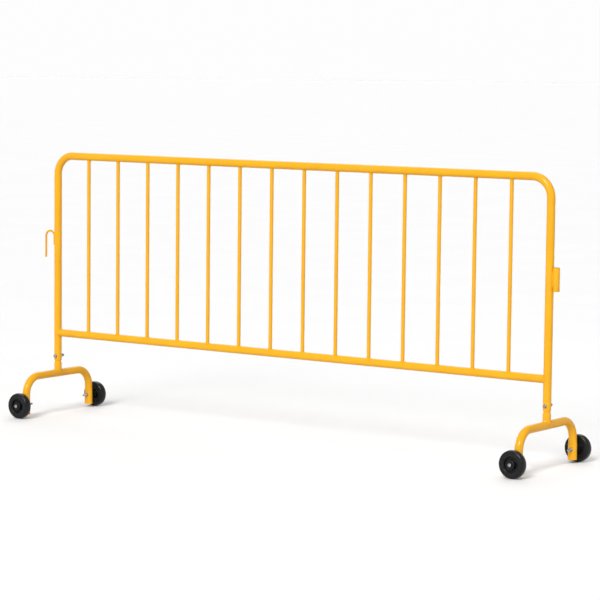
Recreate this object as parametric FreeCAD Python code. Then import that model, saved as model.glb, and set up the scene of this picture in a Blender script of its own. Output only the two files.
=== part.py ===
"""Steel crowd control barrier on four wheels: a bent tube frame with upright pickets, a coupling hook and its
receiver sleeve at the ends, and two bolted feet that each carry two solid wheels.

Units are millimetres. X runs along the barrier with the hook at the -X end, Y runs across it and Z is up.
The origin is on the floor under the middle of the barrier's overall length.
"""
import FreeCAD, Part
import math
import os

V = FreeCAD.Vector
X, Y, Z = V(1, 0, 0), V(0, 1, 0), V(0, 0, 1)

# ---- frame ----
post_spacing = 2400.0        # between the two post axes
rail_spacing = 758.0         # bottom rail axis to top rail axis
tube_diameter = 32.0         # frame, bottom rail and foot tube
tube_wall = 2.0
corner_bend_radius = 80.0    # centreline of the two top corners
post_tail = 118.0            # bottom rail axis to the open lower end of each post

# ---- pickets ----
picket_count = 14
picket_diameter = 15.0
picket_wall = 1.5
end_gap = 170.0              # post axis to the nearest picket axis

# ---- coupling hook, on the -X post ----
hook_rod_diameter = 9.0
hook_reach = 67.0            # post axis to the axis of the hook's hanging leg
hook_rise = 412.0            # bottom rail axis to the centre of the hook's bend
hook_leg = 90.0              # straight hanging leg
hook_root = 36.0             # straight stretch welded along the post
rod_chamfer = 1.2

# ---- hook receiver, on the +X post ----
receiver_diameter = 26.0
receiver_wall = 2.5
receiver_height = 90.0
receiver_rise = 331.0        # bottom rail axis to the receiver's lower end

weld_seat = 0.3              # how deep round stock is let into the tube it is welded to

# ---- feet, stacked up from the floor ----
leg_clearance = 14.0         # floor to the cut end of a leg
flat_above_axle = 15.0       # the leg is a flat oval from its cut end to this far above the axle
pressed_run = 22.0           # where the round tube turns into the flat oval
leg_round = 4.0              # round stretch between the pressed run and the bend
foot_bend_radius = 75.0
leg_offset = 205.0           # post axis to each leg axis
pressed_depth = 24.0         # flat oval across its two flats
stub_height = 43.0           # crossbar axis to the foot of the stub's shoulder
shoulder_height = 5.0        # where the stub is swaged down to the spigot
neck = 8.0                   # spigot left in sight between shoulder and post
spigot_insert = 70.0         # spigot inside the post
spigot_clearance = 0.3       # radial, between spigot and post

# ---- bolt through each post and spigot ----
foot_bolt_diameter = 8.0
foot_bolt_length = 55.0
foot_bolt_edge = 18.0        # lower end of the post to the bolt axis
foot_hex = 13.0              # across the flats of head and nut
foot_head_height = 5.3
foot_nut_height = 6.5
foot_lock_nut_height = 8.0
foot_washer_diameter = 16.0
foot_washer_thickness = 1.6
bolt_hole_clearance = 0.25   # radial, every bolt in its hole

# ---- wheels ----
wheel_radius = 54.0
tread_width = 31.0
shoulder_radius = 7.0
tread_crown = 1.2            # how much lower the tread is at its shoulders than at its middle
rim_radius = 32.0            # where the rubber is bonded to the core
key_width = 9.0              # rib round the core that locks the rubber on
key_height = 3.0
rim_thickness = 3.0
rim_width = 27.0
web_thickness = 6.0
hub_radius = 18.0
hub_length = 37.0
core_fillet = 2.0

# ---- axles ----
axle_diameter = 8.0
axle_bolt_length = 100.0
axle_hex = 13.0
axle_head_height = 5.3
axle_nut_height = 8.0
axle_washer_diameter = 16.0
axle_washer_thickness = 1.6
sleeve_wall = 1.25
wheel_running_clearance = 0.05   # radial, hub bore on the sleeve
side_play = 0.4                  # each end of the hub
spacer_length = 12.5
spacer_diameter = 16.0

# ---- fastener details ----
hex_face = 0.95              # flat end of a head or nut, as a share of its size across flats
hex_chamfer_angle = 30.0
thread_end_chamfer = 0.1     # as a share of the bolt's diameter
nut_hex_share = 0.72         # share of a lock nut's height that is hexagon
nut_collar_share = 0.88      # its collar, as a share of the size across flats
nut_collar_round = 1.4

touching = 0.01              # lengths under this count as none

# ---- sizes that follow ----
tube_radius = tube_diameter / 2
bore_radius = tube_radius - tube_wall
pressed_length = wheel_radius - leg_clearance + flat_above_axle
crossbar_z = leg_clearance + pressed_length + pressed_run + leg_round + foot_bend_radius
shoulder_z = crossbar_z + stub_height
post_end_z = shoulder_z + shoulder_height + neck
bottom_rail_z = post_end_z + post_tail
top_rail_z = bottom_rail_z + rail_spacing
foot_bolt_z = post_end_z + foot_bolt_edge
spigot_radius = bore_radius - spigot_clearance

hook_radius = hook_rod_diameter / 2
hook_root_offset = tube_radius + hook_radius - weld_seat
receiver_radius = receiver_diameter / 2
receiver_offset = tube_radius + receiver_radius - weld_seat

reach_left = max(hook_reach + hook_radius, wheel_radius)
reach_right = max(receiver_offset + receiver_radius, wheel_radius)
left_x = -(post_spacing + reach_left + reach_right) / 2 + reach_left
right_x = left_x + post_spacing

axle_hole = axle_diameter / 2 + bolt_hole_clearance
sleeve_radius = axle_hole + sleeve_wall
hub_bore = sleeve_radius + wheel_running_clearance
sleeve_length = hub_length + 2 * side_play
sleeve_start = pressed_depth / 2 + spacer_length     # measured outwards from the leg axis
head_seat = sleeve_start + sleeve_length
wheel_middle = sleeve_start + sleeve_length / 2


# ---- shared shapes ----
def disc(centre, normal, radius):
    return Part.Face(Part.Wire(Part.makeCircle(radius, centre, normal)))


def ring(centre, normal, outer, inner):
    """Flat ring, or a plain disc when inner is 0."""
    face = disc(centre, normal, outer)
    return face.cut(disc(centre, normal, inner)) if inner else face


def rod(start, end, radius):
    return Part.makeCylinder(radius, (end - start).Length, start, end - start)


def joined(pieces):
    return pieces[0].multiFuse(pieces[1:]).removeSplitter()


def bent_bar(corners, bend_radius, outer, inner):
    """Round bar or tube through the corners, with an arc of bend_radius at each inner one."""
    pieces, start = [], corners[0]
    for before, corner, after in zip(corners, corners[1:], corners[2:]):
        ahead, onward = (corner - before).normalize(), (after - corner).normalize()
        turn = ahead.getAngle(onward)
        setback = bend_radius * math.tan(turn / 2)
        bend_start = corner - ahead * setback
        axis = ahead.cross(onward).normalize()
        centre = bend_start + axis.cross(ahead) * bend_radius
        if (bend_start - start).Length > touching:
            pieces.append(ring(start, ahead, outer, inner).extrude(bend_start - start))
        pieces.append(ring(bend_start, ahead, outer, inner).revolve(centre, axis, math.degrees(turn)))
        start = corner + onward * setback
    last = corners[-1] - start
    pieces.append(ring(start, last, outer, inner).extrude(last))
    return joined(pieces)


def turned(profile):
    """Solid of revolution about Z from (radius, height) points."""
    points = [V(r, 0, z) for r, z in profile]
    return Part.Face(Part.makePolygon(points + points[:1])).revolve(V(0, 0, 0), Z, 360)


def aimed(shape, at, direction):
    """A shape made along +Z from the origin, turned to point along direction from the point at."""
    shape = shape.copy()
    shape.Placement = FreeCAD.Placement(at, FreeCAD.Rotation(Z, direction))
    return shape


def hexagon(across_flats, height):
    """Hexagonal prism with both rims chamfered as turned bar stock is."""
    corner, face = across_flats / math.sqrt(3), across_flats / 2 * hex_face
    turns = [math.tau * k / 6 for k in range(7)]
    outline = Part.makePolygon([V(corner * math.cos(turn), corner * math.sin(turn), 0) for turn in turns])
    drop = (corner - face) * math.tan(math.radians(hex_chamfer_angle))
    cone = turned([(0, 0), (face, 0), (corner, drop), (corner, height - drop), (face, height), (0, height)])
    return Part.Face(outline).extrude(Z * height).common(cone)


def hex_bolt(diameter, length, across_flats, head_height):
    """Bolt whose head sits above the origin and whose shank runs down to -length, with a chamfered end."""
    radius, chamfer = diameter / 2, diameter * thread_end_chamfer
    point = [(0, -length), (radius - chamfer, -length), (radius, -length + chamfer)]
    return joined([hexagon(across_flats, head_height), turned(point + [(radius, 0), (0, 0)])])


def hex_nut(diameter, across_flats, height):
    return hexagon(across_flats, height).cut(rod(Z * 0, Z * height, diameter / 2))


def lock_nut(diameter, across_flats, height):
    """Nut with a hexagon below and the rounded collar that holds its nylon ring above, bored for its bolt."""
    collar, lip = across_flats / 2 * nut_collar_share, nut_collar_round
    dome = turned([(0, 0), (collar, 0), (collar, height - lip), (collar - lip, height), (0, height)])
    body = joined([hexagon(across_flats, height * nut_hex_share), dome])
    return body.cut(rod(Z * 0, Z * height, diameter / 2))


def washer(diameter, hole_radius, thickness):
    """Flat washer, spacer or sleeve standing on the origin."""
    return ring(V(0, 0, 0), Z, diameter / 2, hole_radius).extrude(Z * thickness)


def flat_oval(depth, width, z):
    """Closed outline of two flats across Y joined by round ends, centred on the Z axis."""
    r, half_flat = depth / 2, (width - depth) / 2
    a, b, c, d = V(half_flat, r, z), V(-half_flat, r, z), V(-half_flat, -r, z), V(half_flat, -r, z)
    left, right = V(-half_flat - r, 0, z), V(half_flat + r, 0, z)
    return Part.Wire([
        Part.makeLine(a, b), Part.Arc(b, left, c).toShape(),
        Part.makeLine(c, d), Part.Arc(d, right, a).toShape(),
    ])


def split_circle(radius, half_angle, z):
    """Circle in the same four edges as a flat oval, so that the two can be lofted edge to edge."""
    def at(angle):
        return V(radius * math.cos(angle), radius * math.sin(angle), z)
    up, down, swing = math.pi / 2, -math.pi / 2, half_angle
    a, b, c, d = at(up - swing), at(up + swing), at(down - swing), at(down + swing)
    return Part.Wire([
        Part.Arc(a, at(up), b).toShape(), Part.Arc(b, at(math.pi), c).toShape(),
        Part.Arc(c, at(down), d).toShape(), Part.Arc(d, at(0), a).toShape(),
    ])


# ---- frame ----
def make_frame_tube():
    corners = [
        V(left_x, 0, post_end_z), V(left_x, 0, top_rail_z),
        V(right_x, 0, top_rail_z), V(right_x, 0, post_end_z),
    ]
    tube = bent_bar(corners, corner_bend_radius, tube_radius, bore_radius)
    for x in (left_x, right_x):
        tube = tube.cut(foot_bolt_hole(x))
    return tube


def foot_bolt_hole(x):
    reach = Y * tube_diameter
    at = V(x, 0, foot_bolt_z)
    return rod(at - reach, at + reach, foot_bolt_diameter / 2 + bolt_hole_clearance)


def post_outside(x):
    return rod(V(x, 0, post_end_z), V(x, 0, top_rail_z - corner_bend_radius), tube_radius)


def rail_outside(z):
    return rod(V(left_x, 0, z), V(right_x, 0, z), tube_radius)


def make_bottom_rail():
    start, end = V(left_x, 0, bottom_rail_z), V(right_x, 0, bottom_rail_z)
    rail = ring(start, X, tube_radius, bore_radius).extrude(end - start)
    return rail.cut(post_outside(left_x)).cut(post_outside(right_x))


def picket_x(number):
    pitch = (post_spacing - 2 * end_gap) / (picket_count - 1)
    return left_x + end_gap + pitch * number


def make_picket(number):
    start, end = V(picket_x(number), 0, bottom_rail_z), V(picket_x(number), 0, top_rail_z)
    outer = picket_diameter / 2
    picket = ring(start, Z, outer, outer - picket_wall).extrude(end - start)
    return picket.cut(rail_outside(bottom_rail_z)).cut(rail_outside(top_rail_z))


def make_coupling_hook():
    """Cane-shaped rod: a short root up the post, a half-round bend and a hanging leg."""
    root_x, leg_x = left_x - hook_root_offset, left_x - hook_reach
    bend_radius = (root_x - leg_x) / 2
    bend_z = bottom_rail_z + hook_rise
    top, end_heights = bend_z + bend_radius, (bend_z - hook_root, bend_z - hook_leg)
    corners = [V(root_x, 0, end_heights[0]), V(root_x, 0, top), V(leg_x, 0, top), V(leg_x, 0, end_heights[1])]
    hook = bent_bar(corners, bend_radius, hook_radius, 0)
    rims = [e for e in hook.Edges if min(abs(e.CenterOfMass.z - z) for z in end_heights) < touching]
    return hook.makeChamfer(rod_chamfer, rims).cut(post_outside(left_x))


def make_hook_receiver():
    """Upright sleeve that takes the hanging leg of the next barrier's hook."""
    start = V(right_x + receiver_offset, 0, bottom_rail_z + receiver_rise)
    sleeve = ring(start, Z, receiver_radius, receiver_radius - receiver_wall).extrude(Z * receiver_height)
    return sleeve.cut(post_outside(right_x))


# ---- feet ----
def pressed_leg(wall):
    """Lower end of a leg about the Z axis, from the floor clearance up to the round tube, as a solid bar."""
    radius = tube_radius - wall
    outer_flat = math.pi * (tube_diameter - pressed_depth) / 2
    depth = pressed_depth - 2 * wall
    low, middle = leg_clearance, leg_clearance + pressed_length
    straight = Part.Face(flat_oval(depth, depth + outer_flat, low)).extrude(Z * pressed_length)
    half_angle = outer_flat / 2 / tube_radius
    run = Part.makeLoft([flat_oval(depth, depth + outer_flat, middle),
                         split_circle(radius, half_angle, middle + pressed_run)], True, True)
    return straight.fuse(run)


def make_foot_tube(x):
    round_z = leg_clearance + pressed_length + pressed_run
    corners = [V(x, -leg_offset, round_z), V(x, -leg_offset, crossbar_z),
               V(x, leg_offset, crossbar_z), V(x, leg_offset, round_z)]
    foot = bent_bar(corners, foot_bend_radius, tube_radius, bore_radius)
    for side in (-1, 1):
        leg = pressed_leg(0).cut(pressed_leg(tube_wall))
        leg.translate(V(x, side * leg_offset, 0))
        foot = foot.fuse(leg)
    foot = foot.removeSplitter()
    reach = Y * (leg_offset + tube_diameter)
    axle = V(x, 0, wheel_radius)
    return foot.cut(rod(axle - reach, axle + reach, axle_hole))


def make_foot_stub(x):
    """Short tube coped on to the crossbar and swaged at its upper end into a spigot that fits the post."""
    spigot_bore = spigot_radius - tube_wall
    top = post_end_z + spigot_insert
    neck_z = shoulder_z + shoulder_height
    stub = turned([
        (bore_radius, crossbar_z), (tube_radius, crossbar_z),
        (tube_radius, shoulder_z), (spigot_radius, neck_z), (spigot_radius, top),
        (spigot_bore, top), (spigot_bore, neck_z), (bore_radius, shoulder_z),
    ])
    stub.translate(V(x, 0, 0))
    crossbar = rod(V(x, -leg_offset, crossbar_z), V(x, leg_offset, crossbar_z), tube_radius)
    return stub.cut(crossbar).cut(foot_bolt_hole(x))


def foot_bolt_set(x):
    """Bolt with its head at -Y, a washer at each side of the post, and a nut and a lock nut at +Y."""
    flat = washer(foot_washer_diameter, foot_bolt_diameter / 2 + bolt_hole_clearance, foot_washer_thickness)
    seat = tube_radius + foot_washer_thickness
    at = V(x, 0, foot_bolt_z)
    bolt = hex_bolt(foot_bolt_diameter, foot_bolt_length, foot_hex, foot_head_height)
    nut = hex_nut(foot_bolt_diameter, foot_hex, foot_nut_height)
    locking = lock_nut(foot_bolt_diameter, foot_hex, foot_lock_nut_height)
    return {
        "foot_bolt": aimed(bolt, at - Y * seat, -Y),
        "foot_bolt_head_washer": aimed(flat, at - Y * seat, Y),
        "foot_bolt_nut_washer": aimed(flat, at + Y * tube_radius, Y),
        "foot_bolt_nut": aimed(nut, at + Y * seat, Y),
        "foot_bolt_lock_nut": aimed(locking, at + Y * (seat + foot_nut_height), Y),
    }


# ---- wheels and axles, made along +Z outwards from the leg axis ----
def make_tyre():
    """Solid rubber tyre with a crowned tread and round shoulders, keyed round the core."""
    half, low = tread_width / 2, wheel_radius - tread_crown
    r = shoulder_radius
    across = math.sqrt(0.5) * r

    def corner(side):
        return V(low - r + across, 0, side * (half - r + across))
    points = [
        V(rim_radius, 0, -half), V(low - r, 0, -half), V(low, 0, -half + r), V(low, 0, half - r),
        V(low - r, 0, half), V(rim_radius, 0, half), V(rim_radius, 0, key_width / 2),
        V(rim_radius + key_height, 0, key_width / 2), V(rim_radius + key_height, 0, -key_width / 2),
        V(rim_radius, 0, -key_width / 2),
    ]
    edges = [
        Part.makeLine(points[0], points[1]),
        Part.Arc(points[1], corner(-1), points[2]).toShape(),
        Part.Arc(points[2], V(wheel_radius, 0, 0), points[3]).toShape(),
        Part.Arc(points[3], corner(1), points[4]).toShape(),
    ]
    edges += [Part.makeLine(points[i], points[(i + 1) % len(points)]) for i in range(4, len(points))]
    return Part.Face(Part.Wire(edges)).revolve(V(0, 0, 0), Z, 360)


def make_wheel_core():
    """Moulded core: a rim with its locking rib, a thin web and a long hub with a plain bore."""
    rim_in = rim_radius - rim_thickness
    rim, web, hub, key = rim_width / 2, web_thickness / 2, hub_length / 2, key_width / 2
    half = [
        (hub_bore, hub), (hub_radius - core_fillet, hub), (hub_radius, hub - core_fillet), (hub_radius, web),
        (rim_in, web), (rim_in, rim), (rim_radius, rim), (rim_radius, key), (rim_radius + key_height, key),
    ]
    return turned(half + [(r, -z) for r, z in reversed(half)])


def axle_set():
    flat = washer(axle_washer_diameter, axle_hole, axle_washer_thickness)
    spacer = washer(spacer_diameter, axle_hole, spacer_length)
    sleeve = washer(2 * sleeve_radius, axle_hole, sleeve_length)
    bolt = hex_bolt(axle_diameter, axle_bolt_length, axle_hex, axle_head_height)
    nut = lock_nut(axle_diameter, axle_hex, axle_nut_height)
    leg_face = pressed_depth / 2
    return {
        "tyre": aimed(make_tyre(), Z * wheel_middle, Z),
        "wheel_core": aimed(make_wheel_core(), Z * wheel_middle, Z),
        "axle_sleeve": aimed(sleeve, Z * sleeve_start, Z),
        "axle_spacer": aimed(spacer, Z * leg_face, Z),
        "axle_bolt": aimed(bolt, Z * head_seat, Z),
        "axle_washer": aimed(flat, Z * -leg_face, -Z),
        "axle_nut": aimed(nut, Z * -(leg_face + axle_washer_thickness), -Z),
    }


def placed_axle_set(x, side):
    """The axle set turned outwards along -Y (side -1) or +Y (side 1) at its leg."""
    turn = FreeCAD.Placement(V(x, side * leg_offset, wheel_radius), FreeCAD.Rotation(X, -90 * side))
    placed = {}
    for name, shape in axle_set().items():
        shape.Placement = turn.multiply(shape.Placement)
        placed[name] = shape
    return placed


# ---- the assembly ----
nodes = {"frame_tube": make_frame_tube(), "bottom_rail": make_bottom_rail()}
for number in range(picket_count):
    nodes[f"picket_{number + 1:02d}"] = make_picket(number)
nodes["coupling_hook"] = make_coupling_hook()
nodes["hook_receiver"] = make_hook_receiver()
for end, x in (("left", left_x), ("right", right_x)):
    nodes[f"{end}_foot_tube"] = make_foot_tube(x)
    nodes[f"{end}_foot_stub"] = make_foot_stub(x)
    for name, shape in foot_bolt_set(x).items():
        nodes[f"{end}_{name}"] = shape
    for row, side in (("front", -1), ("rear", 1)):
        for name, shape in placed_axle_set(x, side).items():
            nodes[f"{row}_{end}_{name}"] = shape

os.makedirs("parts", exist_ok=True)
for name, shape in nodes.items():
    solids = shape.Solids
    if len(solids) != 1 or not shape.isValid():
        raise RuntimeError(f"{name} is not one valid solid: {len(solids)} solids, valid {shape.isValid()}")
    solids[0].exportStep(f"parts/{name}.step")

box = FreeCAD.BoundBox()
for shape in nodes.values():
    box.add(shape.optimalBoundingBox(False))
print(f"{len(nodes)} nodes, {box.XLength:.1f} x {box.YLength:.1f} x {box.ZLength:.1f} mm")
print(f"posts at x = {left_x:.2f} and {right_x:.2f}, wheels at y = {leg_offset + wheel_middle:.2f}")
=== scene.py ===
# %% [markdown]
# # A steel crowd control barrier on wheels
# The barrier is a bent tube frame with fourteen pickets. A hook and a receiver sleeve couple it to its
# neighbours, and two bolted feet carry four solid wheels. The engineering model gives every size and
# place, and this script adds what a workshop adds: welds, threads, moulding marks and paint. All numbers
# are in metres.

# %% Load the engineering model
from math import atan2, ceil, copysign, cos, hypot, pi, radians, sin, sqrt, tan, tau

import bmesh
import bpy
from mathutils import Matrix, Vector


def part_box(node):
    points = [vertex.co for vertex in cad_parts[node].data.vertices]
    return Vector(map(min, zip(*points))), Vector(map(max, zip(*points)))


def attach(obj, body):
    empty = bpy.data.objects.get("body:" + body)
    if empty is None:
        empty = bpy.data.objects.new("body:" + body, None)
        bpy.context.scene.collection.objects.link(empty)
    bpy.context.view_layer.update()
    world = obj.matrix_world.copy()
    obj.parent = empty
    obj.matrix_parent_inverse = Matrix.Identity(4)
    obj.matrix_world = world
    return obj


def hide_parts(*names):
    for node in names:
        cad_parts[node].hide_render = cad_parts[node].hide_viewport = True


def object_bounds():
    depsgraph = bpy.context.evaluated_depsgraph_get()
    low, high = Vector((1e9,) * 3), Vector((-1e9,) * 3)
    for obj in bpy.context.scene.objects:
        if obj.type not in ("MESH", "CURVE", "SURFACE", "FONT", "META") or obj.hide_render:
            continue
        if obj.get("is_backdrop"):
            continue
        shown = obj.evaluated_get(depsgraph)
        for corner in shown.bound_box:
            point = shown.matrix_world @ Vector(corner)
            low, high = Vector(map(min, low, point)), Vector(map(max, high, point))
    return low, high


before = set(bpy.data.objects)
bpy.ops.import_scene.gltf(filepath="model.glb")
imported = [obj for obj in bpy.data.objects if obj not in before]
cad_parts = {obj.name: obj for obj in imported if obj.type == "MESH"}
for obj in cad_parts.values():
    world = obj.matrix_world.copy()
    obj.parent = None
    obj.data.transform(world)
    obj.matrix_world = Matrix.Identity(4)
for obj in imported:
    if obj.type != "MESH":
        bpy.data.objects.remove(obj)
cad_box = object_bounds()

MM = 0.001
X, Y, Z = Vector((1, 0, 0)), Vector((0, 1, 0)), Vector((0, 0, 1))

# %% [markdown]
# ## Where things are
# No piece is placed by eye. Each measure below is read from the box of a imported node, so a changed tube or
# wheel changes everything that is built on it. Walls, bend radii and beads can't be read from a box, so
# they are numbers with a name.

# %% Measures from the model
def middle(node):
    low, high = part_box(node)
    return (low + high) / 2


tube_low, tube_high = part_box("frame_tube")
TUBE = tube_high.y                                  # radius of the frame tube
WALL = 2.0 * MM
CORNER_BEND = 80 * MM
TOP_RAIL = tube_high.z - TUBE
POST_END = tube_low.z
BOTTOM_RAIL = middle("bottom_rail").z
POSTS = {"left": tube_low.x + TUBE, "right": tube_high.x - TUBE}
PICKETS = sorted(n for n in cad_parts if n.startswith("picket_"))
PICKET = (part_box(PICKETS[0])[1].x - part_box(PICKETS[0])[0].x) / 2
ROWS = {"front": -1, "rear": 1}
print(f"tube radius {TUBE:.3f}, top rail at {TOP_RAIL:.3f}, {len(PICKETS)} pickets of radius {PICKET:.4f}")

# %% [markdown]
# ## Paint and metal, from shared effects
# Powder coat is never quite flat: it flows into a faint orange-peel ripple while it bakes. Rubber and
# moulded plastic have a fine grain, and zinc plating shows soft cloudy patches. All of these are noise at
# some scale, so two node groups make them once, and each material places them with its own numbers.

# %% Two shared node groups
MIX_A, MIX_B, MIX_OUT = 6, 7, 2                     # a Mix node's sockets when it mixes colours


def new_group(name, inputs, outputs):
    group = bpy.data.node_groups.new(name, "ShaderNodeTree")
    for socket, kind, value in inputs:
        made = group.interface.new_socket(socket, in_out="INPUT", socket_type=kind)
        made.default_value = value
    for socket, kind in outputs:
        group.interface.new_socket(socket, in_out="OUTPUT", socket_type=kind)
    return group, group.nodes.new("NodeGroupInput"), group.nodes.new("NodeGroupOutput")


def surface_grain():
    """Height of a fine ripple, from two noises of different size on Object coordinates."""
    group, source, sink = new_group(
        "surface_grain",
        [("Scale", "NodeSocketFloat", 400.0), ("Fine share", "NodeSocketFloat", 0.3)],
        [("Height", "NodeSocketFloat")],
    )
    place = group.nodes.new("ShaderNodeTexCoord")
    broad, fine = group.nodes.new("ShaderNodeTexNoise"), group.nodes.new("ShaderNodeTexNoise")
    times = group.nodes.new("ShaderNodeMath")
    times.operation, times.inputs[1].default_value = "MULTIPLY", 4.0
    blend = group.nodes.new("ShaderNodeMix")
    for noise, detail in ((broad, 2.0), (fine, 3.0)):
        noise.inputs["Detail"].default_value = detail
        group.links.new(place.outputs["Object"], noise.inputs["Vector"])
    group.links.new(source.outputs["Scale"], broad.inputs["Scale"])
    group.links.new(source.outputs["Scale"], times.inputs[0])
    group.links.new(times.outputs[0], fine.inputs["Scale"])
    group.links.new(source.outputs["Fine share"], blend.inputs["Factor"])
    group.links.new(broad.outputs["Fac"], blend.inputs["A"])
    group.links.new(fine.outputs["Fac"], blend.inputs["B"])
    group.links.new(blend.outputs["Result"], sink.inputs["Height"])
    return group


def cloudy_tone():
    """Colour and roughness that drift slowly between two tones over the surface."""
    group, source, sink = new_group(
        "cloudy_tone",
        [("Tone A", "NodeSocketColor", (0.5, 0.5, 0.5, 1)), ("Tone B", "NodeSocketColor", (0.6, 0.6, 0.6, 1)),
         ("Scale", "NodeSocketFloat", 6.0), ("Rough low", "NodeSocketFloat", 0.3),
         ("Rough high", "NodeSocketFloat", 0.4)],
        [("Colour", "NodeSocketColor"), ("Roughness", "NodeSocketFloat")],
    )
    place, noise = group.nodes.new("ShaderNodeTexCoord"), group.nodes.new("ShaderNodeTexNoise")
    noise.inputs["Detail"].default_value = 4.0
    spread, rough = group.nodes.new("ShaderNodeMapRange"), group.nodes.new("ShaderNodeMapRange")
    tone = group.nodes.new("ShaderNodeMix")
    spread.inputs["From Min"].default_value, spread.inputs["From Max"].default_value = 0.3, 0.7
    tone.data_type = "RGBA"
    group.links.new(place.outputs["Object"], noise.inputs["Vector"])
    group.links.new(source.outputs["Scale"], noise.inputs["Scale"])
    group.links.new(noise.outputs["Fac"], spread.inputs["Value"])
    group.links.new(spread.outputs["Result"], tone.inputs["Factor"])
    group.links.new(source.outputs["Tone A"], tone.inputs[MIX_A])
    group.links.new(source.outputs["Tone B"], tone.inputs[MIX_B])
    group.links.new(spread.outputs["Result"], rough.inputs["Value"])
    group.links.new(source.outputs["Rough low"], rough.inputs["To Min"])
    group.links.new(source.outputs["Rough high"], rough.inputs["To Max"])
    group.links.new(tone.outputs[MIX_OUT], sink.inputs["Colour"])
    group.links.new(rough.outputs["Result"], sink.inputs["Roughness"])
    return group


GRAIN, CLOUDY = surface_grain(), cloudy_tone()
print("node groups:", GRAIN.name, CLOUDY.name)

# %% [markdown]
# ## Dust that settles
# Outdoor equipment gathers a little pale dust, most of it on faces that look up. The normal tells how far
# a face looks up, and a noise breaks the layer into soft patches. It is a third shared group, kept faint
# on a new object.

# %% A third shared group
def settled_dust():
    """Colour and roughness of a surface under a thin patchy layer of dust."""
    group, source, sink = new_group(
        "settled_dust",
        [("Colour", "NodeSocketColor", (0.5, 0.5, 0.5, 1)), ("Roughness", "NodeSocketFloat", 0.4),
         ("Dust", "NodeSocketColor", (0.45, 0.40, 0.33, 1)), ("Amount", "NodeSocketFloat", 0.1),
         ("Scale", "NodeSocketFloat", 12.0)],
        [("Colour", "NodeSocketColor"), ("Roughness", "NodeSocketFloat")],
    )
    place, noise = group.nodes.new("ShaderNodeTexCoord"), group.nodes.new("ShaderNodeTexNoise")
    facing, axes = group.nodes.new("ShaderNodeNewGeometry"), group.nodes.new("ShaderNodeSeparateXYZ")
    upward, patches = group.nodes.new("ShaderNodeMapRange"), group.nodes.new("ShaderNodeMapRange")
    upward.inputs["From Min"].default_value, upward.inputs["From Max"].default_value = -0.2, 1.0
    upward.inputs["To Min"].default_value = 0.12
    patches.inputs["From Min"].default_value, patches.inputs["From Max"].default_value = 0.35, 0.75
    both, layer = group.nodes.new("ShaderNodeMath"), group.nodes.new("ShaderNodeMath")
    both.operation = layer.operation = "MULTIPLY"
    tone, rough = group.nodes.new("ShaderNodeMix"), group.nodes.new("ShaderNodeMix")
    tone.data_type, rough.inputs["B"].default_value = "RGBA", 0.85
    noise.inputs["Detail"].default_value = 6.0
    links = group.links
    links.new(place.outputs["Object"], noise.inputs["Vector"])
    links.new(source.outputs["Scale"], noise.inputs["Scale"])
    links.new(noise.outputs["Fac"], patches.inputs["Value"])
    links.new(facing.outputs["Normal"], axes.inputs["Vector"])
    links.new(axes.outputs["Z"], upward.inputs["Value"])
    links.new(upward.outputs["Result"], both.inputs[0])
    links.new(patches.outputs["Result"], both.inputs[1])
    links.new(both.outputs[0], layer.inputs[0])
    links.new(source.outputs["Amount"], layer.inputs[1])
    links.new(layer.outputs[0], tone.inputs["Factor"])
    links.new(source.outputs["Colour"], tone.inputs[MIX_A])
    links.new(source.outputs["Dust"], tone.inputs[MIX_B])
    links.new(layer.outputs[0], rough.inputs["Factor"])
    links.new(source.outputs["Roughness"], rough.inputs["A"])
    links.new(tone.outputs[MIX_OUT], sink.inputs["Colour"])
    links.new(rough.outputs["Result"], sink.inputs["Roughness"])
    return group


DUST = settled_dust()
print("node group:", DUST.name)


# %% One function for every finish
def finish_of(name, tones, tone_scale, rough, grain, dust=0.0, **sockets):
    """A Principled material whose colour, roughness and bump come from the shared groups.

    tones are two colours and rough two roughnesses that drift over the surface, grain is (scale, depth, share
    of the finer noise), and any other socket of the shader is given by its name.
    """
    material = bpy.data.materials.new(name)
    material.use_nodes = True
    nodes, links = material.node_tree.nodes, material.node_tree.links
    shader, bump = nodes["Principled BSDF"], nodes.new("ShaderNodeBump")
    tone, ripple, layer = (nodes.new("ShaderNodeGroup") for _ in range(3))
    tone.node_tree, ripple.node_tree, layer.node_tree = CLOUDY, GRAIN, DUST
    tone.inputs["Tone A"].default_value, tone.inputs["Tone B"].default_value = ((*rgb, 1) for rgb in tones)
    tone.inputs["Scale"].default_value = tone_scale
    tone.inputs["Rough low"].default_value, tone.inputs["Rough high"].default_value = rough
    ripple.inputs["Scale"].default_value, bump.inputs["Distance"].default_value, share = grain
    ripple.inputs["Fine share"].default_value = share
    layer.inputs["Amount"].default_value = dust
    links.new(tone.outputs["Colour"], layer.inputs["Colour"])
    links.new(tone.outputs["Roughness"], layer.inputs["Roughness"])
    links.new(layer.outputs["Colour"], shader.inputs["Base Color"])
    links.new(layer.outputs["Roughness"], shader.inputs["Roughness"])
    links.new(ripple.outputs["Height"], bump.inputs["Height"])
    links.new(bump.outputs["Normal"], shader.inputs["Normal"])
    for socket, value in sockets.items():
        shader.inputs[socket.replace("_", " ")].default_value = value
    return material


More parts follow.
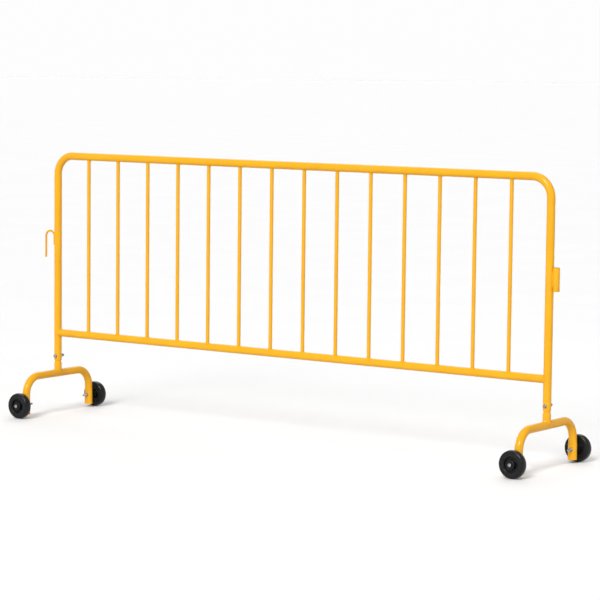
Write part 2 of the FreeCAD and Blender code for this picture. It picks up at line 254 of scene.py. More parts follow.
PAINT = finish_of("golden_powder_coat", [(0.60, 0.284, 0.004), (0.65, 0.312, 0.005)], 7.0, (0.26, 0.34),
                  (380, 0.00008, 0.25), dust=0.05, Specular_IOR_Level=0.05, Coat_Weight=0.35,
                  Coat_Roughness=0.06)
RUBBER = finish_of("solid_rubber", [(0.004, 0.004, 0.005), (0.007, 0.007, 0.008)], 26.0, (0.22, 0.30),
                   (700, 0.00005, 0.5), dust=0.03, Specular_IOR_Level=0.20)
PLASTIC = finish_of("moulded_plastic", [(0.003, 0.003, 0.004), (0.005, 0.005, 0.006)], 34.0, (0.26, 0.34),
                    (1300, 0.00004, 0.5), dust=0.03, Specular_IOR_Level=0.18)
ZINC = finish_of("zinc_plate", [(0.26, 0.26, 0.25), (0.42, 0.42, 0.43)], 120.0, (0.18, 0.30),
                 (1200, 0.00003, 0.5), dust=0.05, Metallic=1.0)
print("finishes:", PAINT.name, RUBBER.name, PLASTIC.name, ZINC.name)

# %% [markdown]
# ## Handing a piece over
# Each piece is made in a bmesh. It then gets clean normals and smooth faces, with sharp edges only where
# two faces meet at a real corner, and it rides on its body in place of the plain engineering solid. The
# open end of a skin is sharp too, because the wall that it gets later turns a corner there.

# %% From bmesh to finished piece
SHARP = radians(32.0)                               # faces that meet at more than this make an edge


def hand_over(bm, name, material, body="barrier", nodes=()):
    bmesh.ops.remove_doubles(bm, verts=bm.verts, dist=1e-6)
    bmesh.ops.recalc_face_normals(bm, faces=bm.faces)
    for face in bm.faces:
        face.smooth = True
    for edge in bm.edges:
        edge.smooth = edge.calc_face_angle(pi) < SHARP
    mesh = bpy.data.meshes.new(name)
    bm.to_mesh(mesh)
    bm.free()
    mesh.materials.append(material)
    piece = bpy.data.objects.new(name, mesh)
    bpy.context.scene.collection.objects.link(piece)
    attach(piece, body)
    if nodes:
        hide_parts(*nodes)
    print(f"{name}: {len(mesh.polygons)} faces, stands for {len(nodes)} nodes")
    return piece


def give_wall(piece, thickness):
    """A tube's skin gets its wall inwards, with a clean rim at each open end."""
    solid = piece.modifiers.new("wall", "SOLIDIFY")
    solid.thickness, solid.offset = thickness, -1.0


# %% [markdown]
# ## Tubes
# A tube bender pushes straight stock through and wraps it round a die. The same three moves make the mesh:
# start a ring, extrude it along a straight run, and spin it round the die's centre for a bend.

# %% Start, run and bend
def start_ring(bm, centre, normal, radius, segments=48):
    turn = Z.rotation_difference(normal).to_matrix().to_4x4()
    made = bmesh.ops.create_circle(bm, segments=segments, radius=radius,
                                   matrix=Matrix.Translation(centre) @ turn)
    return list({edge for vert in made["verts"] for edge in vert.link_edges})


def ring_in(geometry):
    return [g for g in geometry if isinstance(g, bmesh.types.BMEdge)]


def run(bm, ring, vector):
    made = bmesh.ops.extrude_edge_only(bm, edges=ring)["geom"]
    verts = {g for g in made if isinstance(g, bmesh.types.BMVert)}
    bmesh.ops.translate(bm, verts=list(verts), vec=vector)
    return [edge for edge in ring_in(made) if set(edge.verts) <= verts]


def bend(bm, ring, centre, axis, angle, steps=20):
    verts = list({vert for edge in ring for vert in edge.verts})
    made = bmesh.ops.spin(bm, geom=verts + ring, cent=centre, axis=axis, angle=angle, steps=steps)
    return ring_in(made["geom_last"])


def bent_tube(corners, bend_radius, radius):
    """Skin of a tube that runs along the corners and turns a quarter turn at each of them."""
    bm = bmesh.new()
    here, ahead = corners[0], (corners[1] - corners[0]).normalized()
    ring = start_ring(bm, here, ahead, radius)
    for corner, beyond in zip(corners[1:-1], corners[2:]):
        after = (beyond - corner).normalized()
        axis = ahead.cross(after)
        bend_start = corner - ahead * bend_radius
        ring = run(bm, ring, bend_start - here)
        ring = bend(bm, ring, bend_start + after * bend_radius, axis, pi / 2)
        here, ahead = corner + after * bend_radius, after
    run(bm, ring, corners[-1] - here)
    return bm


# %% [markdown]
# ## The frame tube
# Both posts and the top rail are one tube, bent twice. Its lower ends are left open, as on the real frame,
# so the wall shows round the spigots.

# %% Frame tube
bm = bent_tube(
    [Vector((POSTS["left"], 0, POST_END)), Vector((POSTS["left"], 0, TOP_RAIL)),
     Vector((POSTS["right"], 0, TOP_RAIL)), Vector((POSTS["right"], 0, POST_END))],
    CORNER_BEND, TUBE,
)
give_wall(hand_over(bm, "bent_frame_tube", PAINT, nodes=["frame_tube"]), WALL)

# %% [markdown]
# ## Bottom rail and pickets
# These are cut lengths of straight tube. Their coped ends are buried in the weld, so each one simply stops
# a little inside the tube that it meets, and is capped there.

# %% Straight tubes
def straight_tube(bm, start, end, radius, segments):
    """A closed straight length between two points."""
    turn = Z.rotation_difference(end - start).to_matrix().to_4x4()
    bmesh.ops.create_cone(bm, cap_ends=True, segments=segments, radius1=radius, radius2=radius,
                          depth=(end - start).length, matrix=Matrix.Translation((start + end) / 2) @ turn)


BURIED = 4 * MM
COPE_DEPTH = 0.8 * TUBE                             # the rail passes this far into each post
rail_ends = [Vector((POSTS["left"] + TUBE - COPE_DEPTH, 0, BOTTOM_RAIL)),
             Vector((POSTS["right"] - TUBE + COPE_DEPTH, 0, BOTTOM_RAIL))]
bm = bmesh.new()
straight_tube(bm, *rail_ends, TUBE, 48)
hand_over(bm, "coped_bottom_rail", PAINT, nodes=["bottom_rail"])
for node in PICKETS:
    x = middle(node).x
    bm = bmesh.new()
    foot, top = Vector((x, 0, BOTTOM_RAIL + TUBE - BURIED)), Vector((x, 0, TOP_RAIL - TUBE + BURIED))
    straight_tube(bm, foot, top, PICKET, 32)
    hand_over(bm, f"upright_{node}", PAINT, nodes=[node])

# %% [markdown]
# ## Weld beads
# A weld round a coped tube follows the saddle where the two tubes meet. A small round section is spun
# round the branch tube, then each point is lowered by the drop of the host tube's side, and swollen and
# pinched a little to leave the ripples that the welder's steps make. A bead fills the corner, so it drops
# a little less than the line where the tubes meet, and has no point at its sides when both tubes are the
# same size.

# %% A bead round a branch tube
RIPPLE = 2.4 * MM                                   # one step of the welder
UNEVEN = 0.10                                       # how much a bead swells and thins
FILLED = 0.93                                       # how much of the drop a bead follows
POINTS = 5                                          # mesh rings to one ripple of a round bead
STITCH_STEP = 0.5 * MM                              # mesh step along a straight bead


def weld_round(bm, at, away, along, branch, host, bead):
    """Bead where a branch tube leaves a host tube: at is on the host's axis, away points along the branch."""
    ripples = max(24, ceil(tau * branch / RIPPLE))
    before = set(bm.verts)
    ring = start_ring(bm, X * branch, Y, bead, 8)
    verts = list({vert for edge in ring for vert in edge.verts})
    bmesh.ops.spin(bm, geom=verts + ring, cent=(0, 0, 0), axis=Z, angle=tau, steps=ripples * POINTS,
                   use_merge=True)
    verts = [vert for vert in bm.verts if vert not in before]
    for vert in verts:
        angle = atan2(vert.co.y, vert.co.x)
        swell = 1 + UNEVEN * cos(angle * ripples) + UNEVEN * sin(angle * 3 + at.x * 40)
        out = branch + (hypot(vert.co.x, vert.co.y) - branch) * swell
        sideways = min(abs(out * sin(angle)) * FILLED, host)
        vert.co = out * cos(angle), out * sin(angle), sqrt(host ** 2 - sideways ** 2) + vert.co.z * swell
    place = Matrix((along, away.cross(along), away)).transposed().to_4x4()
    bmesh.ops.transform(bm, matrix=Matrix.Translation(at) @ place, verts=verts)


def weld_line(bm, start, end, bead):
    """A straight stitch of weld between two points, tapered at both ends."""
    length = (end - start).length
    steps = max(10, ceil(length / STITCH_STEP))
    turn = Z.rotation_difference(end - start).to_matrix().to_4x4()
    before = set(bm.verts)
    ring = start_ring(bm, Vector(), Z, bead, 10)
    for _ in range(steps):
        ring = run(bm, ring, Z * (length / steps))
    bmesh.ops.holes_fill(bm, edges=[edge for edge in bm.edges if edge.is_boundary], sides=10)
    verts = [vert for vert in bm.verts if vert not in before]
    for vert in verts:
        share = vert.co.z / length
        vert.co.xy *= max(0.05, 1 - (2 * share - 1) ** 8) * (1 + UNEVEN * cos(vert.co.z / RIPPLE * tau))
    bmesh.ops.transform(bm, matrix=Matrix.Translation(start) @ turn, verts=verts)


# %% Welds of the panel
PICKET_BEAD, RAIL_BEAD = 1.7 * MM, 2.2 * MM
bm = bmesh.new()
for node in PICKETS:
    x = middle(node).x
    weld_round(bm, Vector((x, 0, BOTTOM_RAIL)), Z, X, PICKET, TUBE, PICKET_BEAD)
    weld_round(bm, Vector((x, 0, TOP_RAIL)), -Z, X, PICKET, TUBE, PICKET_BEAD)
hand_over(bm, "picket_weld_beads", PAINT)
bm = bmesh.new()
weld_round(bm, Vector((POSTS["left"], 0, BOTTOM_RAIL)), X, Z, TUBE, TUBE, RAIL_BEAD)
weld_round(bm, Vector((POSTS["right"], 0, BOTTOM_RAIL)), -X, Z, TUBE, TUBE, RAIL_BEAD)
hand_over(bm, "bottom_rail_weld_beads", PAINT)

# %% [markdown]
# ## Coupling hook and receiver
# The hook is a round rod bent like a cane. Its short root runs up the post, and its long leg hangs free to
# drop into the neighbour's sleeve. The sleeve is a short piece of thick tube. Both are held by stitches of
# weld.

# %% Hook
hook_low, hook_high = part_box("coupling_hook")
ROD = hook_high.y
HOOK_ROOT = 36 * MM
SEAT = 0.3 * MM                                     # how deep a round piece is let into the post
ROD_CHAMFER = 1.2 * MM
hook_leg_x = hook_low.x + ROD
hook_root_x = POSTS["left"] - TUBE - ROD + SEAT
hook_bend = (hook_root_x - hook_leg_x) / 2
root_end = hook_high.z - ROD - hook_bend - HOOK_ROOT
bm = bmesh.new()
ring = start_ring(bm, Vector((hook_root_x, 0, root_end)), Z, ROD, 28)
root_cap = ring
ring = run(bm, ring, Z * HOOK_ROOT)
ring = bend(bm, ring, Vector(((hook_root_x + hook_leg_x) / 2, 0, root_end + HOOK_ROOT)), -Y, pi, steps=36)
ring = run(bm, ring, Vector((0, 0, hook_low.z - root_end - HOOK_ROOT)))
rims = root_cap + ring
bmesh.ops.holes_fill(bm, edges=rims, sides=28)
bmesh.ops.bevel(bm, geom=rims, offset=ROD_CHAMFER, segments=3, affect="EDGES", profile=0.5, material=-1)
hand_over(bm, "cane_hook", PAINT, nodes=["coupling_hook"])

# %% Receiver sleeve
sleeve_low, sleeve_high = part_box("hook_receiver")
SLEEVE = sleeve_high.y
SLEEVE_WALL = 2.5 * MM
sleeve_x = sleeve_high.x - SLEEVE
sleeve_foot, sleeve_length = Vector((sleeve_x, 0, sleeve_low.z)), Z * (sleeve_high.z - sleeve_low.z)
bm = bmesh.new()
outer = start_ring(bm, sleeve_foot, Z, SLEEVE, 48)
outer_top = run(bm, outer, sleeve_length)
inner = start_ring(bm, sleeve_foot, Z, SLEEVE - SLEEVE_WALL, 48)
inner_top = run(bm, inner, sleeve_length)
bmesh.ops.bridge_loops(bm, edges=outer + inner)
bmesh.ops.bridge_loops(bm, edges=outer_top + inner_top)
bmesh.ops.bevel(bm, geom=outer + inner + outer_top + inner_top, offset=0.5 * MM, segments=2, affect="EDGES",
                profile=0.5, material=-1)
hand_over(bm, "receiver_sleeve", PAINT, nodes=["hook_receiver"])

# %% Stitches that hold them
def groove(post_x, round_x, round_radius, side):
    """Where a bead lies in the groove between a post and a round piece beside it, seen from above."""
    apart, reach = abs(round_x - post_x), 1.6 * MM
    from_post, from_round = TUBE + reach, round_radius + reach
    along = (apart ** 2 + from_post ** 2 - from_round ** 2) / (2 * apart)
    return Vector((post_x + copysign(along, round_x - post_x), side * sqrt(from_post ** 2 - along ** 2), 0))


HOOK_BEAD, SLEEVE_BEAD = 2.3 * MM, 3.0 * MM
HOOK_BARE, SLEEVE_BARE = 2 * MM, 12 * MM            # left without weld at the ends
bm = bmesh.new()
for side in (-1, 1):
    place = groove(POSTS["left"], hook_root_x, ROD, side)
    start, end = root_end + HOOK_BARE, root_end + HOOK_ROOT
    weld_line(bm, place + Z * start, place + Z * end, HOOK_BEAD)
    place = groove(POSTS["right"], sleeve_x, SLEEVE, side)
    start, end = sleeve_low.z + SLEEVE_BARE, sleeve_high.z - SLEEVE_BARE
    weld_line(bm, place + Z * start, place + Z * end, SLEEVE_BEAD)
hand_over(bm, "coupling_weld_stitches", PAINT)

# %% [markdown]
# ## Feet
# Each foot is a tube bent twice, with its leg ends squeezed to a flat oval so that the axle bolt clamps on
# flat faces. The tube is made round first and then pressed, as in the workshop: each point keeps its
# distance along the tube's outline while the outline changes shape.

# %% Pressing a leg end
foot_low, foot_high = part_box("left_foot_tube")
LEG_OFFSET = foot_high.y - TUBE
CROSSBAR = foot_high.z - TUBE
FOOT_BEND = 75 * MM
LEG_END = foot_low.z
AXLE = middle("front_left_axle_bolt").z
FLAT_ABOVE_AXLE = 15 * MM
PRESSED_LENGTH = AXLE + FLAT_ABOVE_AXLE - LEG_END
PRESSED_RUN, RUN_STEPS = 22 * MM, 8                 # where round turns into flat
PRESSED = 12 * MM                                   # half the depth across the flats


def pressed_point(x, y):
    """Point on a flat oval as long round as the tube, as far along it as (x, y) is on the round tube."""
    half_flat, corner = (TUBE - PRESSED) * pi / 2, PRESSED * pi / 2
    length = atan2(abs(y), abs(x)) * TUBE           # from the narrow side of the oval
    if length < corner:
        turn = length / PRESSED
        point = half_flat + PRESSED * cos(turn), PRESSED * sin(turn)
    else:
        point = half_flat + corner - length, PRESSED
    return Vector((copysign(point[0], x), copysign(point[1], y)))


def press_leg(vert, leg):
    """Blend a point of the round tube towards the flat oval, fully so below the pressed run."""
    share = (LEG_END + PRESSED_LENGTH + PRESSED_RUN - vert.co.z) / PRESSED_RUN
    share = min(1.0, max(0.0, share))
    share = share * share * (3 - 2 * share)
    around = vert.co.xy - leg
    vert.co.xy = leg + around.lerp(pressed_point(*around), share)


# %% Foot tubes
def foot_tube(x):
    bm = bmesh.new()
    ring = start_ring(bm, Vector((x, -LEG_OFFSET, LEG_END)), Z, TUBE)
    ring = run(bm, ring, Z * PRESSED_LENGTH)
    for _ in range(RUN_STEPS):
        ring = run(bm, ring, Z * (PRESSED_RUN / RUN_STEPS))
    ring = run(bm, ring, Z * (CROSSBAR - FOOT_BEND - LEG_END - PRESSED_LENGTH - PRESSED_RUN))
    ring = bend(bm, ring, Vector((x, FOOT_BEND - LEG_OFFSET, CROSSBAR - FOOT_BEND)), -X, pi / 2)
    run(bm, ring, Y * (LEG_OFFSET - FOOT_BEND))
    for vert in bm.verts:
        press_leg(vert, Vector((x, -LEG_OFFSET)))
    bmesh.ops.mirror(bm, geom=bm.verts[:] + bm.edges[:] + bm.faces[:], axis="Y", merge_dist=1e-5)
    return bm


for end, x in POSTS.items():
    piece = hand_over(foot_tube(x), f"{end}_bent_foot_tube", PAINT,
                      nodes=[f"{end}_foot_tube"])
    give_wall(piece, WALL)

# %% [markdown]
# ## Foot stubs
# The stub is turned and swaged: full size below, then a rounded shoulder down to the spigot that slides up
# inside the post. A profile spun once round the post axis gives the shape, with the shoulder as half a
# cosine wave.

# %% Stubs and their welds
stub_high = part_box("left_foot_stub")[1]
SLIDING_FIT = 0.3 * MM
SPIGOT = TUBE - WALL - SLIDING_FIT
NECK = 8 * MM                                       # spigot in sight under the post
SHOULDER, SHOULDER_STEPS = 5 * MM, 8
shoulder_foot = POST_END - NECK - SHOULDER


def spun(bm, profile, centre, axis, steps=64):
    """Spin a list of (radius, height) points once round an axis through centre."""
    turn = Z.rotation_difference(axis).to_matrix().to_4x4()
    place = Matrix.Translation(centre) @ turn
    verts = [bmesh.ops.create_vert(bm, co=place @ Vector((r, 0, z)))["vert"][0] for r, z in profile]
    edges = [bm.edges.new(pair) for pair in zip(verts, verts[1:])]
    bmesh.ops.spin(bm, geom=verts + edges, cent=centre, axis=axis, angle=tau, steps=steps, use_merge=True)


shares = [k / SHOULDER_STEPS for k in range(SHOULDER_STEPS + 1)]
shoulder = [(SPIGOT + (TUBE - SPIGOT) * (1 + cos(pi * share)) / 2, shoulder_foot + SHOULDER * share)
            for share in shares]
stub_outline = [(0, CROSSBAR + BURIED), (TUBE, CROSSBAR + BURIED)] + shoulder
stub_outline += [(SPIGOT, stub_high.z), (0, stub_high.z)]
for end, x in POSTS.items():
    bm = bmesh.new()
    spun(bm, stub_outline, Vector((x, 0, 0)), Z)
    hand_over(bm, f"{end}_swaged_stub", PAINT, nodes=[f"{end}_foot_stub"])
STUB_BEAD = 2.4 * MM
bm = bmesh.new()
for x in POSTS.values():
    weld_round(bm, Vector((x, 0, CROSSBAR)), Z, Y, TUBE, TUBE, STUB_BEAD)
hand_over(bm, "foot_stub_weld_beads", PAINT)

# %% [markdown]
# ## Bolts, washers and lock nuts
# A hexagon head is bar stock with its corners turned off, which leaves a curved line on every flat. A ring
# of many points is pushed out to the hexagon, and the points are lowered the further out they are, as the
# lathe tool does. The thread is a zigzag spun once round while it climbs by one pitch, so that each turn
# joins the next.

# %% Fastener shapes
def arc(centre_r, centre_z, radius, start, stop, steps=8):
    """Points of an arc in an outline: angle 0 points outwards, away from the axle."""
    turn = [radians(start + (stop - start) * k / steps) for k in range(steps + 1)]
    return [(centre_r + radius * cos(t), centre_z + radius * sin(t)) for t in turn]


BOLT, PITCH, ACROSS, WASHER = 4.0 * MM, 1.25 * MM, 13.0 * MM, 8.0 * MM
FACE = 0.95 * ACROSS / 2                            # radius of the flat end of a head or nut
CHAMFER_ANGLE = radians(30)


def ring_to(bm, ring, radius, height):
    """Extrude a ring to a circle round the Z axis."""
    ring = run(bm, ring, Vector())
    for vert in {vert for edge in ring for vert in edge.verts}:
        vert.co = *(vert.co.xy.normalized() * radius), height
    return ring


def hexagon_prism(bm, height, hole=0.0):
    """Hexagon standing on the origin, its outer end chamfered, with a round hole there if asked."""
    foot = start_ring(bm, Vector(), Z, ACROSS / 2, 72)
    ring = run(bm, foot, Z * height)
    for vert in {vert for edge in foot + ring for vert in edge.verts}:
        angle = atan2(vert.co.y, vert.co.x) % (pi / 3) - pi / 6
        vert.co.xy = vert.co.xy.normalized() * (ACROSS / 2 / cos(angle))
        if vert.co.z > height / 2:
            vert.co.z -= (vert.co.xy.length - FACE) * tan(CHAMFER_ANGLE)
    ring = ring_to(bm, ring, FACE, height)
    if hole:
        ring_to(bm, ring, hole, height)
        bmesh.ops.holes_fill(bm, edges=foot, sides=72)
    else:
        bmesh.ops.holes_fill(bm, edges=foot + ring, sides=72)


def threaded_end(bm, low, high):
    """Thread of a bolt between two heights, with a chamfered point at the low end."""
    depth, steps = PITCH * 0.55, 28
    core, turns = BOLT - depth, int((high - low) / PITCH - 1.5)
    zigzag = [(BOLT - depth * (k % 2), low + PITCH * (1 + k / 2)) for k in range(2 * turns + 1)]
    verts = [bmesh.ops.create_vert(bm, co=(r, 0, z))["vert"][0] for r, z in zigzag]
    edges = [bm.edges.new(pair) for pair in zip(verts, verts[1:])]
    bmesh.ops.spin(bm, geom=verts + edges, cent=(0, 0, 0), axis=Z, angle=tau, steps=steps,
                   dvec=Z * (PITCH / steps))
    blunt = 0.2 * depth
    point = [(0, low), (core - blunt, low), (BOLT - blunt, low + 0.9 * PITCH), (core, low + 1.1 * PITCH)]
    spun(bm, point + [(core, high), (0, high)], Vector(), Z, steps)


def fit(bm, name, place, nodes):
    """Move a fastener from the origin to its place and hand it over."""
    bmesh.ops.transform(bm, matrix=place, verts=bm.verts)
    hand_over(bm, name, ZINC, nodes=nodes)


def bolt(name, place, head, grip, length, nodes):
    """Hexagon bolt under its head: a smooth shank for the grip, then thread to the end of its length."""
    bm = bmesh.new()
    hexagon_prism(bm, head)
    spun(bm, [(0, -grip), (BOLT, -grip), (BOLT, 0)], Vector(), Z, 32)
    threaded_end(bm, -length, -grip)
    fit(bm, name, place, nodes)


def aimed(origin, direction):
    return Matrix.Translation(origin) @ Z.rotation_difference(direction).to_matrix().to_4x4()


def hex_nut(name, place, height, nodes):
    """Plain nut: its thread is out of sight once the bolt fills it, so the bore is smooth."""
    bm = bmesh.new()
    hexagon_prism(bm, height, hole=BOLT)
    fit(bm, name, place, nodes)


def lock_nut(name, place, height, nodes):
    """Hexagon with a rolled collar above it that grips a nylon ring."""
    bm = bmesh.new()
    body, collar, lip = height * 0.72, ACROSS / 2 * 0.88, 1.4 * MM
    nylon, sunk, buried, overlap = BOLT + 1.1 * MM, height - 0.8 * MM, 0.6 * MM, 0.1 * MM
    hexagon_prism(bm, body, hole=collar - overlap)
    roll = arc(collar - lip, height - lip, lip, 0, 90, 6)
    bore = [(nylon, height), (nylon, sunk), (BOLT, sunk), (BOLT, 0)]
    spun(bm, [(collar, body - buried)] + roll + bore, Vector(), Z, 48)
    fit(bm, name, place, nodes)


def flat_washer(name, place, thickness, nodes):
    """Washer or spacer with its rim broken by a small chamfer."""
    bm = bmesh.new()
    edge = 0.25 * MM
    outside = [(WASHER - edge, 0), (WASHER, edge)]
    outside += [(WASHER, thickness - edge), (WASHER - edge, thickness)]
    spun(bm, [(BOLT, 0)] + outside + [(BOLT, thickness), (BOLT, 0)], Vector(), Z, 56)
    fit(bm, name, place, nodes)


# %% Bolts through the posts
for end, x in POSTS.items():
    low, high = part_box(f"{end}_foot_bolt")
    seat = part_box(f"{end}_foot_bolt_head_washer")
    nut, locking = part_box(f"{end}_foot_bolt_nut"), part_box(f"{end}_foot_bolt_lock_nut")
    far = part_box(f"{end}_foot_bolt_nut_washer")
    z = middle(f"{end}_foot_bolt").z

    def on_bolt(y, direction):
        return aimed(Vector((x, y, z)), direction)

    bolt(f"{end}_post_bolt", on_bolt(seat[0].y, -Y), seat[0].y - low.y, far[1].y - seat[0].y,
         high.y - seat[0].y, [f"{end}_foot_bolt"])
    flat_washer(f"{end}_post_head_washer", on_bolt(seat[0].y, Y), seat[1].y - seat[0].y,
                [f"{end}_foot_bolt_head_washer"])
    flat_washer(f"{end}_post_nut_washer", on_bolt(far[0].y, Y), far[1].y - far[0].y,
                [f"{end}_foot_bolt_nut_washer"])
    hex_nut(f"{end}_post_nut", on_bolt(nut[0].y, Y), nut[1].y - nut[0].y, [f"{end}_foot_bolt_nut"])
    lock_nut(f"{end}_post_lock_nut", on_bolt(nut[1].y, Y), locking[1].y - nut[1].y,
             [f"{end}_foot_bolt_lock_nut"])

# %% Axle bolts, spacers and sleeves
def outward(node, side):
    """(nearest, furthest) reach of a node from the middle plane, on its own side."""
    low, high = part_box(node)
    return sorted((side * low.y, side * high.y))


for end, x in POSTS.items():
    for row, side in ROWS.items():
        name = f"{row}_{end}"
        z, out = middle(f"{name}_axle_bolt").z, Y * side

        def spot(reach, direction):
            return aimed(Vector((x, side * reach, z)), direction)

        tip, head_face = outward(f"{name}_axle_bolt", side)
        seat = outward(f"{name}_axle_sleeve", side)[1]
        spacer = outward(f"{name}_axle_spacer", side)
        flat = outward(f"{name}_axle_washer", side)
        nut = outward(f"{name}_axle_nut", side)
        bolt(f"{name}_wheel_bolt", spot(seat, out), head_face - seat, seat - nut[1], seat - tip,
             [f"{name}_axle_bolt"])
        lock_nut(f"{name}_wheel_lock_nut", spot(nut[1], -out), nut[1] - nut[0], [f"{name}_axle_nut"])
        flat_washer(f"{name}_wheel_washer", spot(flat[1], -out), flat[1] - flat[0], [f"{name}_axle_washer"])
        flat_washer(f"{name}_wheel_spacer", spot(spacer[0], out), spacer[1] - spacer[0],
                    [f"{name}_axle_spacer"])
        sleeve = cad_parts[f"{name}_axle_sleeve"]
        sleeve.data.materials.clear()
        sleeve.data.materials.append(ZINC)

# %% [markdown]
# ## Wheels
# A solid rubber tyre is moulded on to a plastic core. The tyre's outline is a gentle crown between two
# round shoulders, with a shallow groove on each side and the thin flash line that the mould leaves round
# the middle of the tread. The core is a rim, a thin web and a long hub. Both are spun from their outline.

# %% Tyre and core outlines
def half_size(node):
    low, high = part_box(node)
    return (high - low) / 2


WHEEL, TREAD = half_size("front_left_tyre").z, half_size("front_left_tyre").y
SHOULDER_ROUND, CROWN, KEY = 7 * MM, 1.2 * MM, 3 * MM
RIM = half_size("front_left_wheel_core").z - KEY
FLASH, FLASH_FOOT = 0.25 * MM, 0.35 * MM            # height of the mould's flash line, and half its foot
RUNNING_FIT = 0.05 * MM


def tyre_outline():
    """Half of the tyre's outline from the middle of the tread round to the core, then mirrored."""
    low, across = WHEEL - CROWN, TREAD - SHOULDER_ROUND - FLASH_FOOT
    crown = [(WHEEL - FLASH - (CROWN - FLASH) * share ** 2, FLASH_FOOT + across * share)
             for share in (k / 6 for k in range(6))]
    shoulder = arc(low - SHOULDER_ROUND, TREAD - SHOULDER_ROUND, SHOULDER_ROUND, 0, 90)
    groove_at, groove_floor = low - SHOULDER_ROUND - 3.0 * MM, TREAD - 0.6 * MM
    side = [(groove_at, TREAD), (groove_at - 0.4 * MM, groove_floor)]
    side += [(groove_at - 1.4 * MM, groove_floor), (groove_at - 1.8 * MM, TREAD)]
    lip_round, flash_tip, seat = 2.2 * MM, 0.12 * MM, 4.5 * MM
    lip = arc(RIM + lip_round, TREAD - lip_round, lip_round, 90, 180, 5)
    half = [(WHEEL, flash_tip)] + crown + shoulder + side + lip + [(RIM, TREAD - seat)]
    return half + [(r, -z) for r, z in reversed(half)]


def core_outline():
    """Half of the core's outline from its bore over the hub, the web and the rim, then mirrored."""
    hub_half = half_size("front_left_wheel_core").y
    bore = half_size("front_left_axle_sleeve").x + RUNNING_FIT
    rim_in, rim_half, web, hub = RIM - 3 * MM, 13.5 * MM, 3 * MM, 18.0 * MM
    lead_in, ring_out, ring_in, ring_deep = 0.8 * MM, hub - 4 * MM, hub - 6 * MM, 0.5 * MM
    hub_round, fillet, draft, rim_round = 2 * MM, 2.5 * MM, 0.6 * MM, 1.2 * MM
    half = [(bore, hub_half - lead_in), (bore + lead_in, hub_half), (ring_in, hub_half)]
    half += [(ring_in, hub_half - ring_deep), (ring_out, hub_half - ring_deep), (ring_out, hub_half)]
    half += arc(hub - hub_round, hub_half - hub_round, hub_round, 90, 0, 5)
    half += arc(hub + draft + fillet, web + fillet, fillet, 180, 270, 5)
    half += arc(rim_in - fillet, web + fillet, fillet, 270, 360, 5)
    half += arc(rim_in + rim_round, rim_half - rim_round, rim_round, 180, 90, 4) + [(RIM, rim_half)]
    return half + [(r, -z) for r, z in reversed(half)]


# %% Spin the wheels
def vent_pips(bm, count=8):
    """Small rubber pips on the side wall, where the mould let air out."""
    from_rim, pip, first = 6.3 * MM, 0.7 * MM, 0.2
    for k in range(count):
        turn = Matrix.Rotation(tau * k / count + first, 4, "Z")
        for side in (-1, 1):
            place = turn @ Matrix.Translation(Vector((RIM + from_rim, 0, side * TREAD)))
            bmesh.ops.create_icosphere(bm, subdivisions=2, radius=pip, matrix=place)


for end, x in POSTS.items():
    for row, side in ROWS.items():
        name = f"{row}_{end}"
        place = aimed(middle(f"{name}_tyre"), Y * side)
        for kind, outline, material, slot in (("tyre", tyre_outline(), RUBBER, "black_rubber"),
                                              ("wheel_core", core_outline(), PLASTIC, "black_plastic")):
            bm = bmesh.new()
            spun(bm, outline + outline[:1], Vector(), Z, 96)
            if kind == "tyre":
                vent_pips(bm)
            bmesh.ops.transform(bm, matrix=place, verts=bm.verts)
            hand_over(bm, f"{name}_moulded_{kind}", material, body=f"{name}_wheel",
                      nodes=[f"{name}_{kind}"])

# %% [markdown]
# ## Studio
# The floor is one wide pale sheet. The sky is nearly white along the horizon, so floor and sky meet
# without a line, and greyer overhead, which leaves room for a soft key light from the front to shape the
# tubes. A weaker light from behind keeps the back from going dull, and a small bright box draws a thin
# gleam on rubber and metal.

# %% Floor and sky
FLOOR_RADIUS = 120.0
bm = bmesh.new()
bmesh.ops.create_circle(bm, cap_ends=True, segments=96, radius=FLOOR_RADIUS)
mesh = bpy.data.meshes.new("studio_floor")
bm.to_mesh(mesh)
bm.free()
floor = bpy.data.objects.new("studio_floor", mesh)
bpy.context.scene.collection.objects.link(floor)
mesh.materials.append(finish_of("floor_sheet", [(0.725, 0.725, 0.725), (0.745, 0.745, 0.745)], 1.5,
                                (0.80, 0.90), (300, 0.0001, 0.3)))
floor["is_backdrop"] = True

HORIZON, OVERHEAD = 0.985, 0.50
sky = bpy.data.worlds.new("soft_sky")
bpy.context.scene.world = sky
sky.use_nodes = True
nodes, links = sky.node_tree.nodes, sky.node_tree.links
direction, height = nodes.new("ShaderNodeTexCoord"), nodes.new("ShaderNodeSeparateXYZ")
fade, shade = nodes.new("ShaderNodeMapRange"), nodes.new("ShaderNodeMix")
fade.inputs["From Min"].default_value, fade.inputs["From Max"].default_value = 0.10, 0.50
shade.data_type = "RGBA"
for socket, grey in ((MIX_A, HORIZON), (MIX_B, OVERHEAD)):
    shade.inputs[socket].default_value = (grey, grey, grey, 1)
links.new(direction.outputs["Generated"], height.inputs["Vector"])
links.new(height.outputs["Z"], fade.inputs["Value"])
links.new(fade.outputs["Result"], shade.inputs["Factor"])
links.new(shade.outputs[MIX_OUT], nodes["Background"].inputs["Color"])
bpy.context.scene.view_settings.view_transform = "Standard"

# %% Lights
centre = (cad_box[0] + cad_box[1]) / 2


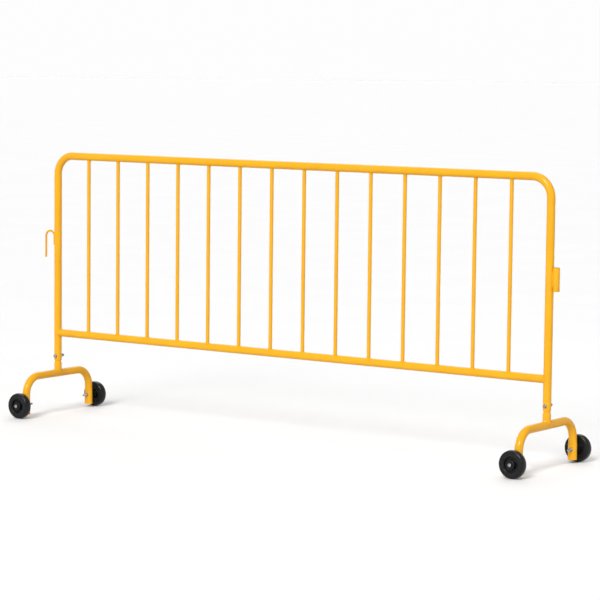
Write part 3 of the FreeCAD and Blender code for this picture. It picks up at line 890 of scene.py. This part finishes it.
def outlook(azimuth, elevation):
    """Direction from the barrier to an azimuth, with 0 in front of it, and an elevation."""
    return Vector((sin(azimuth) * cos(elevation), -cos(azimuth) * cos(elevation), sin(elevation)))


def hang(name, kind, azimuth, elevation, distance, **settings):
    """A light that shines at the middle of the barrier, from a direction in degrees."""
    away = outlook(radians(azimuth), radians(elevation))
    light = bpy.data.lights.new(name, kind)
    for setting, value in settings.items():
        setattr(light, setting, value)
    lamp = bpy.data.objects.new(name, light)
    lamp.location = centre + away * distance
    lamp.rotation_mode = "QUATERNION"
    lamp.rotation_quaternion = away.to_track_quat("Z", "Y")
    bpy.context.scene.collection.objects.link(lamp)


hang("key_light", "SUN", 12, 35, 5.0, energy=3.2, angle=radians(22))
hang("back_light", "SUN", 215, 40, 5.0, energy=0.8, angle=radians(40))
hang("overhead_softbox", "AREA", 70, 60, 4.5, energy=25, shape="SQUARE", size=0.42)

# %% [markdown]
# ## Camera
# A long lens a little above rail height looks along the panel from its receiver end, so the near foot is
# larger and lower than the far one.

# %% Camera
VIEW_AZIMUTH, VIEW_ELEVATION, VIEW_ROLL = radians(35.0), radians(5.7), radians(0.62)
VIEW_DISTANCE, LENS = 10.1, 150.9
back = outlook(VIEW_AZIMUTH, VIEW_ELEVATION)
right = Z.cross(back).normalized()
up = back.cross(right)
rolled_right = right * cos(VIEW_ROLL) + up * sin(VIEW_ROLL)
rolled_up = up * cos(VIEW_ROLL) - right * sin(VIEW_ROLL)
lens = bpy.data.cameras.new("studio_camera")
lens.lens = LENS
camera = bpy.data.objects.new("studio_camera", lens)
bpy.context.scene.collection.objects.link(camera)
aim = centre + Vector((0.040, 0.048, 0.0026))
facing = Matrix((rolled_right, rolled_up, back)).transposed().to_4x4()
camera.matrix_world = Matrix.Translation(aim + back * VIEW_DISTANCE) @ facing
bpy.context.scene.camera = camera

# %% [markdown]
# ## Sizes
# The box of the visual model and the box of the engineering model are printed side by side. The visual
# model has to stay inside the engineering model's box.

# %% Sizes of both boxes
shown_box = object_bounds()
for name, (low, high) in (("model", cad_box), ("shown", shown_box)):
    print(name, "box is", " x ".join(f"{side:.4f}" for side in high - low), "m")
